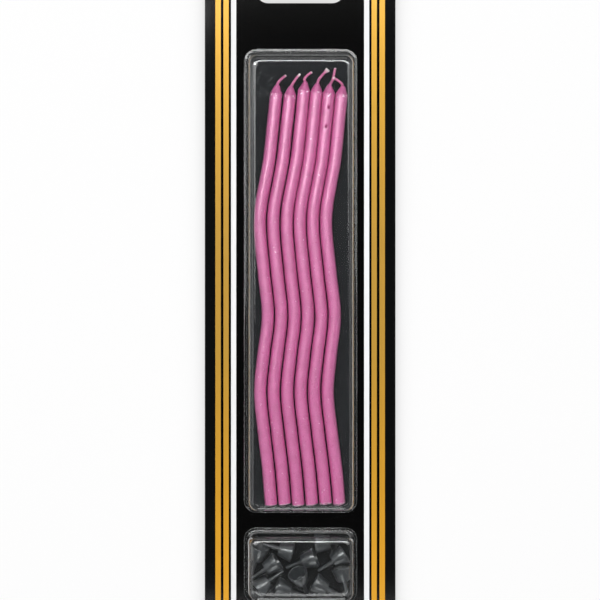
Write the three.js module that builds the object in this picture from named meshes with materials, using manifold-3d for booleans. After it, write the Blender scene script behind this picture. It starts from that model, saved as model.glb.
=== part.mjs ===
// A carded pack of wavy cake candles: a printed hang card with two clear formed bubbles. The long bubble
// holds six wax candles on cotton wicks, and the short one holds their loose plastic holders.
// Millimetres. The card lies on its back: X runs across it, Y up to its hang slot, Z out of its front.
import * as THREE from "three";
import { mergeVertices } from "three/addons/utils/BufferGeometryUtils.js";
import Module from "manifold-3d";

// Hang card: the board left bare round the bubbles.
const cardSideMargin = 13.8;
const cardHeader = 34.2;
const cardFooter = 11.4;
const cardThickness = 0.6;
const cardCornerRadius = 2.5;

// Hang slot: a straight slot with round ends and a shallow hump in the middle.
const slotWidth = 32;
const slotHeight = 9;
const slotHumpRadius = 6;
const slotHumpRise = 1.5;
const slotFromCardTop = 8.8;

// Formed bubbles, sealed to the card's front by a narrow flange.
const filmThickness = 0.35;
const bubbleCornerRadius = 4.2;
const bubbleFillet = 2;
const bubbleFlange = 0.9;
const bubbleWallLean = 1;
const bubbleSpacing = 5.1;

// Candles: wax cast round a wick, all bent to one wave.
const candleLength = 150.8;
const waxDiameter = 4.35;
const shoulderLength = 2.9;
const tipDiameter = 1.8;
const endRounding = 0.3;
const wickDiameter = 0.8;
const wickClearance = 0.2;

// Room round the candles: between them, beside the row, below their feet and above their tips.
const gapBetweenTips = 0.33;
const gapBetweenFeet = 0.55;
const roomBesideRow = 4.82;
const roomBelowFeet = 2.8;
const roomForWicks = 13.4;

// Cup-shaped candle holders on a spike. The cup tapers, so that a candle's foot wedges in it.
const cupMouthRoom = 1.75;
const cupBaseOverWax = 0.55;
const cupHeight = 5.2;
const cupWall = 0.55;
const cupFloor = 0.8;
const spikeRootDiameter = 1.7;
const spikeTipDiameter = 1.1;
const spikeLength = 6.3;

// Room for the pile of holders, across and up the card in holder lengths, and the gap over it.
const pileAcross = 3.35;
const pileUp = 2.156;
const roomOverPile = 0.3;
// A holder less than this many mouths long is so stout that it spreads the pile too.
const stoutestHolder = 1.59;

// What lies on the card keeps this gap to it.
const restingGap = 0.3;

// How finely round shapes are drawn.
const cardArcSteps = 6;
const bubbleArcSteps = 4;
const filletSteps = 3;
const waxSides = 12;
const wickSides = 6;
const candleStepLength = 6;
const bareWickSteps = 5;
const holderSides = 12;
const mergeDistance = 1e-4;

// The middle line of the row of candles: share of the candle's length, distance across the card.
const wave = [
  [0.082, 0.8],
  [0.175, -0.85],
  [0.27, -2.25],
  [0.36, -1.05],
  [0.45, 0.4],
  [0.558, -1.15],
  [0.664, -2.6],
  [0.71, -2.25],
  [0.769, -0.7],
  [0.822, 0.7],
  [0.915, 2.15],
];
const footAcross = 1.85;
const shoulderAcross = 3.15;
const tipAcross = 3.5;

// Each candle's foot and tip, up the card from those of the row, and its bare wick's course from the tip:
// across, up, out of the card.
const candles = [
  { foot: -0.1, tip: -0.2, wick: [[0.3, 1.1, 0.1], [1.6, 2.5, 0.5], [3.1, 3.6, 0.7]] },
  { foot: 0.2, tip: -0.7, wick: [[0.6, 1.3, 0.1], [1.8, 3.1, 0.2], [3.2, 4.6, 0.6]] },
  { foot: -0.3, tip: 0.9, wick: [[-0.2, 1.4, 0.2], [1, 2.7, 0.5], [2.4, 3.7, 0.6]] },
  { foot: 0, tip: 0.4, wick: [[0.5, 1.6, 0.1], [1.9, 3.4, 0.3], [3.7, 5.1, 0.8]] },
  { foot: 0.3, tip: -0.1, wick: [[0.9, 1.8, -0.3], [1.4, 3.6, -0.4], [1.9, 6.2, -0.2]] },
  { foot: 0.1, tip: -0.6, wick: [[-0.3, 1, 0.9], [-1.8, 2.2, 1.6], [-3.3, 3.1, 1.9]] },
];

// Each holder in the pile: its mouth's centre from the pile's centre in holder lengths, the way its spike
// points, and how far the spike dips below level, in degrees. Each rests on the card by its lowest edge.
const holders = [
  { mouth: [-1.247, 0.609], heading: -107, dip: 15 },
  { mouth: [-0.226, 0.413], heading: 164, dip: 4 },
  { mouth: [-0.694, 0.16], heading: -146, dip: 4 },
  { mouth: [-1.333, -0.736], heading: 36, dip: 4 },
  { mouth: [-0.735, -0.622], heading: -20, dip: 6 },
  { mouth: [-0.087, -0.165], heading: -66, dip: 37 },
  { mouth: [0.432, -0.499], heading: -26, dip: 0 },
  { mouth: [1.264, -0.022], heading: -77, dip: 6 },
  { mouth: [1.403, 0.383], heading: -148, dip: 0 },
  { mouth: [0.472, 0.706], heading: 3, dip: 4 },
  { mouth: [0.492, 0.284], heading: -160, dip: 5 },
];

// Sizes that follow from those above.
const pitchAtTips = waxDiameter + gapBetweenTips;
const pitchAtFeet = waxDiameter + gapBetweenFeet;
const rowWidth = (candles.length - 1) * pitchAtFeet + waxDiameter;
const cupMouthDiameter = waxDiameter + cupMouthRoom + 2 * cupWall;
const cupBaseDiameter = waxDiameter + cupBaseOverWax;
const holderLength = cupHeight + spikeLength;
const pileStep = Math.max(holderLength, stoutestHolder * cupMouthDiameter);
const bubbleEdge = bubbleFlange + filmThickness;
const bubbleHeight = pileTop() + roomOverPile + filmThickness;
const candleBubbleWidth = rowWidth + 2 * (roomBesideRow + bubbleEdge);
const candleBubbleLength = roomBelowFeet + candleLength + roomForWicks;
const holderBubbleWidth = pileAcross * pileStep + 2 * bubbleEdge;
const holderBubbleLength = pileUp * pileStep + 2 * bubbleEdge;
const cardWidth = Math.max(candleBubbleWidth, holderBubbleWidth) + 2 * cardSideMargin;
const cardLength =
  cardHeader + candleBubbleLength + bubbleSpacing + holderBubbleLength + cardFooter;
const candleBubbleUp = cardLength / 2 - cardHeader - candleBubbleLength / 2;
const holderBubbleUp = -cardLength / 2 + cardFooter + holderBubbleLength / 2;
const feetUp = candleBubbleUp - candleBubbleLength / 2 + roomBelowFeet;

const wasm = await Module();
wasm.setup();

const cardFinish = new THREE.MeshStandardMaterial({ color: 0x0c0d0f, roughness: 0.3, metalness: 0 });
const filmFinish = new THREE.MeshStandardMaterial({
  color: 0xdfe3e6,
  roughness: 0.08,
  metalness: 0,
  transparent: true,
  opacity: 0.25,
});
const waxFinish = new THREE.MeshStandardMaterial({ color: 0xd780b2, roughness: 0.38, metalness: 0 });
const wickFinish = new THREE.MeshStandardMaterial({ color: 0xd59abb, roughness: 0.8, metalness: 0 });
const holderFinish = new THREE.MeshStandardMaterial({ color: 0x2c2e31, roughness: 0.35, metalness: 0 });

// A closed solid from a geometry, and a geometry from a solid.
function toSolid(geometry) {
  const bare = geometry.clone();
  bare.deleteAttribute("normal");
  bare.deleteAttribute("uv");
  const merged = mergeVertices(bare, mergeDistance);
  return new wasm.Manifold(
    new wasm.Mesh({
      numProp: 3,
      vertProperties: new Float32Array(merged.getAttribute("position").array),
      triVerts: new Uint32Array(merged.index.array),
    }),
  );
}

function toGeometry(solid) {
  const mesh = solid.getMesh();
  const geometry = new THREE.BufferGeometry();
  geometry.setAttribute("position", new THREE.BufferAttribute(mesh.vertProperties, 3));
  geometry.setIndex(new THREE.BufferAttribute(mesh.triVerts, 1));
  const faceted = geometry.toNonIndexed();
  faceted.computeVertexNormals();
  return faceted;
}

function namedMesh(name, geometry, material) {
  const mesh = new THREE.Mesh(geometry, material.clone());
  mesh.name = name;
  return mesh;
}

function roundedRectangle(width, length, radius) {
  const x = width / 2 - radius;
  const y = length / 2 - radius;
  const shape = new THREE.Shape();
  shape.absarc(x, y, radius, 0, Math.PI / 2);
  shape.absarc(-x, y, radius, Math.PI / 2, Math.PI);
  shape.absarc(-x, -y, radius, Math.PI, 1.5 * Math.PI);
  shape.absarc(x, -y, radius, 1.5 * Math.PI, 2 * Math.PI);
  shape.closePath();
  return shape;
}

// The hang slot's outline, which is flat below and carries the hump above.
function hangSlotPath() {
  const endRadius = slotHeight / 2;
  const endX = slotWidth / 2 - endRadius;
  const top = cardLength / 2 - slotFromCardTop;
  const middle = top - endRadius;
  const humpCentre = top + slotHumpRise - slotHumpRadius;
  const humpAngle = Math.asin((slotHumpRadius - slotHumpRise) / slotHumpRadius);
  const path = new THREE.Path();
  path.absarc(endX, middle, endRadius, -Math.PI / 2, Math.PI / 2);
  path.absarc(0, humpCentre, slotHumpRadius, humpAngle, Math.PI - humpAngle);
  path.absarc(-endX, middle, endRadius, Math.PI / 2, 1.5 * Math.PI);
  path.closePath();
  return path;
}

function hangCard() {
  const shape = roundedRectangle(cardWidth, cardLength, cardCornerRadius);
  shape.holes.push(hangSlotPath());
  const geometry = new THREE.ExtrudeGeometry(shape, {
    depth: cardThickness,
    bevelEnabled: false,
    curveSegments: cardArcSteps,
  });
  return namedMesh("hang_card", geometry, cardFinish);
}

// A block with a filleted top, leaning walls and round corners, from below the card's front to its height.
function domeSolid(width, length, height, cornerRadius, fillet, below) {
  const outline = roundedRectangle(width - 2 * fillet, length - 2 * fillet, cornerRadius - fillet);
  const geometry = new THREE.ExtrudeGeometry(outline, {
    depth: height + below,
    bevelEnabled: true,
    bevelThickness: fillet,
    bevelSize: fillet,
    bevelSegments: filletSteps,
    curveSegments: bubbleArcSteps,
  });
  geometry.translate(0, 0, -fillet - below);
  leanWalls(geometry, width, length, height);
  return toSolid(geometry);
}

// Draws the walls in as they rise, so that the formed bubble leaves its mould.
function leanWalls(geometry, width, length, height) {
  const position = geometry.getAttribute("position");
  for (let i = 0; i < position.count; i += 1) {
    const lean = (2 * bubbleWallLean * Math.max(position.getZ(i), 0)) / height;
    position.setX(i, position.getX(i) * (1 - lean / width));
    position.setY(i, position.getY(i) * (1 - lean / length));
  }
}

// A bubble of thin film, open towards the card, with its sealing flange round the foot.
function bubble(name, width, length, centreUp) {
  const footWidth = width - 2 * bubbleFlange;
  const footLength = length - 2 * bubbleFlange;
  const footRadius = bubbleCornerRadius - bubbleFlange;
  const outer = domeSolid(footWidth, footLength, bubbleHeight, footRadius, bubbleFillet, 0);
  const inner = domeSolid(
    footWidth - 2 * filmThickness,
    footLength - 2 * filmThickness,
    bubbleHeight - filmThickness,
    footRadius - filmThickness,
    bubbleFillet - filmThickness,
    bubbleFillet,
  );
  const aboveCard = new THREE.BoxGeometry(2 * width, 2 * length, 2 * bubbleHeight);
  aboveCard.translate(0, 0, bubbleHeight);
  const flange = new THREE.ExtrudeGeometry(roundedRectangle(width, length, bubbleCornerRadius), {
    depth: filmThickness,
    bevelEnabled: false,
    curveSegments: bubbleArcSteps,
  });
  const shell = outer.intersect(toSolid(aboveCard)).add(toSolid(flange)).subtract(inner);
  const mesh = namedMesh(name, toGeometry(shell), filmFinish);
  mesh.position.set(0, centreUp, cardThickness);
  return mesh;
}

// Carries a straight turned piece, whose axis runs up Y from 0, onto a curve.
function bendAlong(geometry, curve) {
  const position = geometry.getAttribute("position");
  const curveLength = curve.getLength();
  const out = new THREE.Vector3(0, 0, 1);
  for (let i = 0; i < position.count; i += 1) {
    const share = THREE.MathUtils.clamp(position.getY(i) / curveLength, 0, 1);
    const along = curve.getTangentAt(share);
    const side = new THREE.Vector3().crossVectors(along, out).normalize();
    const rise = new THREE.Vector3().crossVectors(side, along);
    const point = curve
      .getPointAt(share)
      .addScaledVector(side, position.getX(i))
      .addScaledVector(rise, position.getZ(i));
    position.setXYZ(i, point.x, point.y, point.z);
  }
  geometry.computeVertexNormals();
  return geometry;
}

// Even stations from one length to another, no further apart than a step.
function stations(from, to, step) {
  const count = Math.ceil((to - from) / step);
  return Array.from({ length: count + 1 }, (_, i) => from + ((to - from) * i) / count);
}

// How far the given candle stands from the middle line of the row, at a share of the candle's length.
function offsetAcross(index, share) {
  const place = index - (candles.length - 1) / 2;
  return place * THREE.MathUtils.lerp(pitchAtFeet, pitchAtTips, share);
}

// One candle's centreline, from its foot through the wax to the end of its bare wick.
function centreline(index) {
  const { foot, tip, wick } = candles[index];
  const out = cardThickness + restingGap + waxDiameter / 2;
  const waxTop = candleLength + tip;
  const course = [
    [foot, footAcross],
    ...wave.map(([share, across]) => [share * candleLength, across]),
    [waxTop - shoulderLength, shoulderAcross],
    [waxTop, tipAcross],
  ];
  const points = course.map(([up, across]) => {
    const x = across + offsetAcross(index, up / candleLength);
    return new THREE.Vector3(x, feetUp + up, out);
  });
  const waxTip = points.at(-1);
  wick.forEach(([across, up, rise]) => {
    points.push(new THREE.Vector3(waxTip.x + across, waxTip.y + up, waxTip.z + rise));
  });
  return new THREE.CatmullRomCurve3(points);
}

// The length of a candle's wax along its centreline.
function waxLength(index, curve) {
  const bare = candles[index].wick.length;
  const waxPoints = curve.points.slice(0, curve.points.length - bare);
  return new THREE.CatmullRomCurve3(waxPoints).getLength();
}

function candleWax(index) {
  const curve = centreline(index);
  const length = waxLength(index, curve);
  const radius = waxDiameter / 2;
  const bore = wickDiameter / 2 + wickClearance;
  const heights = stations(endRounding, length - shoulderLength, candleStepLength);
  const profile = [
    new THREE.Vector2(bore, 0),
    new THREE.Vector2(radius - endRounding, 0),
    ...heights.map((height) => new THREE.Vector2(radius, height)),
    new THREE.Vector2(tipDiameter / 2, length),
    new THREE.Vector2(bore, length),
    ...heights.toReversed().map((height) => new THREE.Vector2(bore, height)),
    new THREE.Vector2(bore, 0),
  ];
  const straight = new THREE.LatheGeometry(profile, waxSides, Math.PI / waxSides);
  return namedMesh(`candle_${index + 1}_wax`, bendAlong(straight, curve), waxFinish);
}

function candleWick(index) {
  const curve = centreline(index);
  const waxEnd = waxLength(index, curve);
  const wickEnd = curve.getLength();
  const heights = [
    ...stations(0, waxEnd, candleStepLength),
    ...stations(waxEnd, wickEnd, (wickEnd - waxEnd) / bareWickSteps).slice(1),
  ];
  const profile = [
    new THREE.Vector2(0, 0),
    ...heights.map((height) => new THREE.Vector2(wickDiameter / 2, height)),
    new THREE.Vector2(0, wickEnd),
  ];
  const straight = new THREE.LatheGeometry(profile, wickSides, Math.PI / wickSides);
  return namedMesh(`candle_${index + 1}_wick`, bendAlong(straight, curve), wickFinish);
}

// A holder on its own axis: mouth at the origin, spike down Y.
function holderGeometry() {
  const mouth = cupMouthDiameter / 2;
  const base = cupBaseDiameter / 2;
  const taper = (mouth - base) / cupHeight;
  const floorRadius = base + taper * cupFloor - cupWall;
  const profile = [
    new THREE.Vector2(0, -holderLength),
    new THREE.Vector2(spikeTipDiameter / 2, -holderLength),
    new THREE.Vector2(spikeRootDiameter / 2, -cupHeight),
    new THREE.Vector2(base, -cupHeight),
    new THREE.Vector2(mouth, 0),
    new THREE.Vector2(mouth - cupWall, 0),
    new THREE.Vector2(floorRadius, cupFloor - cupHeight),
    new THREE.Vector2(0, cupFloor - cupHeight),
  ];
  return new THREE.LatheGeometry(profile, holderSides);
}

// How far a holder's mouth centre stands above its lowest point, when its spike dips below level.
function mouthRise(dip) {
  const rings = [
    [0, cupMouthDiameter / 2],
    [cupHeight, cupBaseDiameter / 2],
    [holderLength, spikeTipDiameter / 2],
  ];
  return Math.max(...rings.map(([along, radius]) => along * Math.sin(dip) + radius * Math.cos(dip)));
}

// How high the pile stands above the card's front.
function pileTop() {
  const tops = holders.map(({ dip }) => {
    const fall = THREE.MathUtils.degToRad(dip);
    return mouthRise(fall) + (Math.cos(fall) * cupMouthDiameter) / 2;
  });
  return restingGap + Math.max(...tops);
}

function holder(index) {
  const { mouth, heading, dip } = holders[index];
  const turn = THREE.MathUtils.degToRad(heading);
  const fall = THREE.MathUtils.degToRad(dip);
  const mesh = namedMesh(`holder_${index + 1}`, holderGeometry(), holderFinish);
  const spikeWay = new THREE.Vector3(
    Math.cos(turn) * Math.cos(fall),
    Math.sin(turn) * Math.cos(fall),
    -Math.sin(fall),
  );
  mesh.quaternion.setFromUnitVectors(new THREE.Vector3(0, -1, 0), spikeWay);
  mesh.position.set(
    mouth[0] * pileStep,
    holderBubbleUp + mouth[1] * pileStep,
    cardThickness + restingGap + mouthRise(fall),
  );
  return mesh;
}

const pack = new THREE.Group();
pack.add(hangCard());
pack.add(bubble("candle_bubble", candleBubbleWidth, candleBubbleLength, candleBubbleUp));
pack.add(bubble("holder_bubble", holderBubbleWidth, holderBubbleLength, holderBubbleUp));
candles.forEach((_, index) => pack.add(candleWax(index), candleWick(index)));
holders.forEach((_, index) => pack.add(holder(index)));

export default pack;
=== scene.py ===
"""Dresses a carded pack of wavy cake candles and lights it for a picture from straight above.

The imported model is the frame: metres, X across the card, Y up it to its hang slot, Z out of its
printed front. Each piece made here stands for one node of that model and rides on its body.
"""

import logging
import math
from dataclasses import dataclass
from enum import Enum

import bmesh
import bpy
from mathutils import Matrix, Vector, noise


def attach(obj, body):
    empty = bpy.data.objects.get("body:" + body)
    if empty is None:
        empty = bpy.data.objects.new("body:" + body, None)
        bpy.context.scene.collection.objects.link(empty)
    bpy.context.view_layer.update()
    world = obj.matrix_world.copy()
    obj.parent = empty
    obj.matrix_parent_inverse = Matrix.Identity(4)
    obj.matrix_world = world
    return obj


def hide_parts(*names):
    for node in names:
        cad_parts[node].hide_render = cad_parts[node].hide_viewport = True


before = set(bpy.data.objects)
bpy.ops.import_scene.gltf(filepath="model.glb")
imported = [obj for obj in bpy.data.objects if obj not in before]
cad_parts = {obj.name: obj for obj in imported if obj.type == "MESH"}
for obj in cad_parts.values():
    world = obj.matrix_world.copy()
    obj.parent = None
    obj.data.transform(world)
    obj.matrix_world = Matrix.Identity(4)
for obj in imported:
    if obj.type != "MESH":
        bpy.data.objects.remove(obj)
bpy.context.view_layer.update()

LOG = logging.getLogger("candle_pack")
MM = 0.001
MERGE = 0.001 * MM
PLY_SIDES = 8
# Noise vectors are drawn afresh in each run unless they are seeded.
NOISE_SEED = 1

Colour = tuple[float, float, float, float]
Ring = list[tuple[float, float]]
Socket = bpy.types.NodeSocket
Piece = bpy.types.Object

CARD_FRONT = 0.6 * MM


class Body(Enum):
    """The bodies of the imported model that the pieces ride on."""

    CARD = "card"
    CANDLE_BUBBLE = "candle_bubble"
    HOLDER_BUBBLE = "holder_bubble"


class Slot(Enum):
    """The record's material slots."""

    BOARD = "printed_board"
    FILM = "clear_film"
    WAX = "pearly_wax"
    WICK = "cotton_wick"
    PLASTIC = "holder_plastic"


def linear(colour: str) -> Colour:
    """Turns an sRGB colour to linear light.

    Args:
        colour: The colour as #rrggbb.

    Returns:
        Red, green, blue and a full alpha.
    """
    parts = [int(colour[i : i + 2], 16) / 255 for i in (1, 3, 5)]
    red, green, blue = (p / 12.92 if p <= 0.04045 else ((p + 0.055) / 1.055) ** 2.4 for p in parts)
    return red, green, blue, 1.0


def find_socket(sockets: bpy.types.bpy_prop_collection, key: str | int) -> Socket:
    """Finds a socket by its place, its identifier or its name.

    Args:
        sockets: A node's inputs or outputs.
        key: The socket's place, identifier or name.

    Returns:
        The socket.
    """
    if isinstance(key, int):
        return sockets[key]
    named = [s for s in sockets if s.identifier == key]
    return named[0] if named else sockets[key]


class NodeSheet:
    """A node tree, with short calls for the nodes that the finishes use."""

    def __init__(self, tree: bpy.types.NodeTree) -> None:
        """Takes a tree and empties it."""
        self.tree = tree
        tree.nodes.clear()

    def add(self, kind: str, values: dict | None = None) -> bpy.types.Node:
        """Adds a node with its settings and links.

        Args:
            kind: The node's type name.
            values: Properties, input values and the sockets that feed inputs, by their names.

        Returns:
            The new node.
        """
        node = self.tree.nodes.new(kind)
        for key, value in (values or {}).items():
            if isinstance(value, Socket):
                self.tree.links.new(value, find_socket(node.inputs, key))
            elif isinstance(key, str) and key in node.bl_rna.properties:
                setattr(node, key, value)
            else:
                find_socket(node.inputs, key).default_value = value
        return node

    def math(self, operation: str, first: object, second: object = 0.0) -> Socket:
        """Adds one sum, product, comparison or the like.

        Args:
            operation: The operation's name in capitals.
            first: A number or a socket.
            second: A number or a socket.

        Returns:
            The result's socket.
        """
        return self.add("ShaderNodeMath", {"operation": operation, 0: first, 1: second}).outputs[0]

    def mix(self, share: Socket, first: object, second: object) -> Socket:
        """Mixes two colours.

        Args:
            share: How much of the second colour shows.
            first: A colour or a socket.
            second: A colour or a socket.

        Returns:
            The mixed colour's socket.
        """
        values = {"data_type": "RGBA", "Factor_Float": share, "A_Color": first, "B_Color": second}
        return find_socket(self.add("ShaderNodeMix", values).outputs, "Result_Color")

    def ramp(
        self, value: Socket, low: float, high: float, to_low: float = 0.0, to_high: float = 1.0
    ) -> Socket:
        """Carries a value from one range to another and keeps it there.

        Args:
            value: The value's socket.
            low: The value that gives to_low.
            high: The value that gives to_high.
            to_low: The result at low.
            to_high: The result at high.

        Returns:
            The result's socket.
        """
        ends = {"From Min": low, "From Max": high, "To Min": to_low, "To Max": to_high}
        return self.add("ShaderNodeMapRange", {**ends, "Value": value}).outputs[0]

    def grain(self, size: float, detail: float = 2.0) -> Socket:
        """Adds noise whose lumps have a real size.

        Args:
            size: The width of a lump in metres.
            detail: How many finer layers it has.

        Returns:
            The noise's socket, from 0 to 1.
        """
        values = {"Scale": 1 / size, "Detail": detail, "Vector": self.place()}
        return self.add("ShaderNodeTexNoise", values).outputs["Fac"]

    def bump(self, height: Socket, depth: float, strength: float = 1.0) -> Socket:
        """Turns a height to a shading normal.

        Args:
            height: The height's socket, from 0 to 1.
            depth: How deep 1 is, in metres.
            strength: How much of it shows.

        Returns:
            The normal's socket.
        """
        values = {"Distance": depth, "Strength": strength, "Height": height}
        return self.add("ShaderNodeBump", values).outputs[0]

    def marked(self, name: str) -> Socket:
        """Returns the number that the piece's mesh holds at its points under a name."""
        return self.add("ShaderNodeAttribute", {"attribute_name": name}).outputs["Fac"]

    def place(self) -> Socket:
        """Returns where a point lies on its piece, in metres."""
        return self.add("ShaderNodeTexCoord").outputs["Object"]

    def axes(self, place: Socket) -> bpy.types.bpy_prop_collection:
        """Returns the sockets X, Y and Z of a place or a direction."""
        return self.add("ShaderNodeSeparateXYZ", {0: place}).outputs

    def put_out(self, shader: bpy.types.Node) -> None:
        """Sends a shader to the material's output."""
        self.add("ShaderNodeOutputMaterial", {"Surface": shader.outputs[0]})


def new_material(name: str) -> tuple[bpy.types.Material, NodeSheet]:
    """Makes a material with an empty tree.

    Args:
        name: The material's name.

    Returns:
        The material and its node tree.
    """
    material = bpy.data.materials.new(name)
    material.use_nodes = True
    return material, NodeSheet(material.node_tree)


@dataclass(frozen=True)
class PrintedBoard:
    """Folding box board, offset printed and varnished.

    The varnish gives an even gloss with a faint paper grain, the gold ink shines like brushed foil,
    and the cut edge and the back show the bare grey board.
    """

    panel_ink: str = "#050505"
    margin_ink: str = "#0b0c0c"
    # Painted light: the ink under the films is painted greyer, standing in for light caught between
    # the films and the board.
    painted_film_light: str = "#1d1e20"
    film_half_width: float = 18.5 * MM
    # Where each film lies up the card, and how much of that painted light it holds.
    films: tuple[tuple[float, float, float], ...] = (
        (-77 * MM, 85 * MM, 1.0),
        (-109 * MM, -87 * MM, 0.4),
    )
    gold_ink: str = "#ca9b3e"
    # Painted sheen: the gold is painted lighter and richer towards the top and the foot of the card.
    gold_sheen_at_top: str = "#e4ab2e"
    gold_sheen_at_foot: str = "#e8a626"
    gold_sheen_reach: tuple[float, float] = (20 * MM, 95 * MM)
    gold_roughness: float = 0.2
    gold_metal: float = 0.15
    white_ink: str = "#f5f5f5"
    # Each stripe's sides, from the card's middle line, in millimetres.
    white_stripe: tuple[float, float] = (23.02, 24.87)
    inner_gold: tuple[float, float] = (25.72, 27.6)
    outer_gold: tuple[float, float] = (28.57, 30.52)
    varnish_roughness: float = 0.065
    varnish_index: float = 1.48
    grain_size: float = 0.5 * MM
    grain_depth: float = 0.004 * MM
    printed_depth: float = 0.06 * MM
    bare_board: str = "#b9b5ac"
    board_fibre: str = "#c9c5bc"
    fibre_size: float = 1.6 * MM
    fibre_edge: tuple[float, float] = (0.35, 0.7)
    bare_roughness: float = 0.85

    def band(self, tree: NodeSheet, across: Socket, sides: tuple[float, float]) -> Socket:
        """Marks a stripe on both halves of the card.

        Args:
            tree: The node tree.
            across: The distance from the middle line in metres.
            sides: The stripe's sides in millimetres.

        Returns:
            A socket that is 1 in the stripe and 0 outside it.
        """
        inside = tree.math("GREATER_THAN", across, sides[0] * MM)
        outside = tree.math("LESS_THAN", across, sides[1] * MM)
        return tree.math("MULTIPLY", inside, outside)

    def gold_with_painted_sheen(self, tree: NodeSheet, up: Socket) -> Socket:
        """Mixes the gold ink with a painted sheen that makes it lighter and richer towards both ends
        of the card.

        Args:
            tree: The node tree.
            up: The distance up the card in metres.

        Returns:
            The socket of the ink with its painted sheen.
        """
        near, far = self.gold_sheen_reach
        top = tree.ramp(up, near, far)
        foot = tree.ramp(up, -near, -far)
        ink = tree.mix(top, linear(self.gold_ink), linear(self.gold_sheen_at_top))
        return tree.mix(foot, ink, linear(self.gold_sheen_at_foot))

    def painted_film_light_mask(self, tree: NodeSheet, across: Socket, up: Socket) -> Socket:
        """Marks the board under the two films, where light is painted into the ink.

        Args:
            tree: The node tree.
            across: The distance from the middle line in metres.
            up: The distance up the card in metres.

        Returns:
            A socket with the film's share of painted light under a film and 0 elsewhere.
        """
        inside = tree.math("LESS_THAN", across, self.film_half_width)
        marks = []
        for low, high, share in self.films:
            middle, half = (low + high) / 2, (high - low) / 2
            away = tree.math("ABSOLUTE", tree.math("SUBTRACT", up, middle))
            mark = tree.math("LESS_THAN", away, half)
            marks.append(tree.math("MULTIPLY", mark, share))
        return tree.math("MULTIPLY", inside, tree.math("ADD", *marks))

    def material(self) -> bpy.types.Material:
        """Builds the material.

        Returns:
            The material.
        """
        material, tree = new_material("offset_printed_box_board")
        axes = tree.axes(tree.place())
        across = tree.math("ABSOLUTE", axes["X"])
        front = tree.math("GREATER_THAN", axes["Z"], CARD_FRONT - self.printed_depth)
        margin = tree.math("GREATER_THAN", across, self.outer_gold[1] * MM)
        film_light_share = self.painted_film_light_mask(tree, across, axes["Y"])
        white = self.band(tree, across, self.white_stripe)
        stripes = [self.band(tree, across, sides) for sides in (self.inner_gold, self.outer_gold)]
        gold = tree.math("ADD", *stripes)
        # Painted light greys the ink under the films.
        ink = tree.mix(film_light_share, linear(self.panel_ink), linear(self.painted_film_light))
        ink = tree.mix(margin, ink, linear(self.margin_ink))
        ink = tree.mix(white, ink, linear(self.white_ink))
        # The gold stripes carry a painted sheen towards both ends.
        ink = tree.mix(gold, ink, self.gold_with_painted_sheen(tree, axes["Y"]))
        fibres = tree.ramp(tree.grain(self.fibre_size, 4.0), *self.fibre_edge)
        board = tree.mix(fibres, linear(self.bare_board), linear(self.board_fibre))
        foil = tree.math("MULTIPLY", gold, front)
        gloss = tree.ramp(foil, 0, 1, self.varnish_roughness, self.gold_roughness)
        bare = tree.ramp(front, 0, 1, self.bare_roughness, 0)
        surface = {
            "IOR": self.varnish_index,
            "Base Color": tree.mix(front, board, ink),
            "Roughness": tree.math("MAXIMUM", bare, gloss),
            "Metallic": tree.math("MULTIPLY", foil, self.gold_metal),
            "Normal": tree.bump(tree.grain(self.grain_size), self.grain_depth),
        }
        tree.put_out(tree.add("ShaderNodeBsdfPrincipled", surface))
        return material


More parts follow.
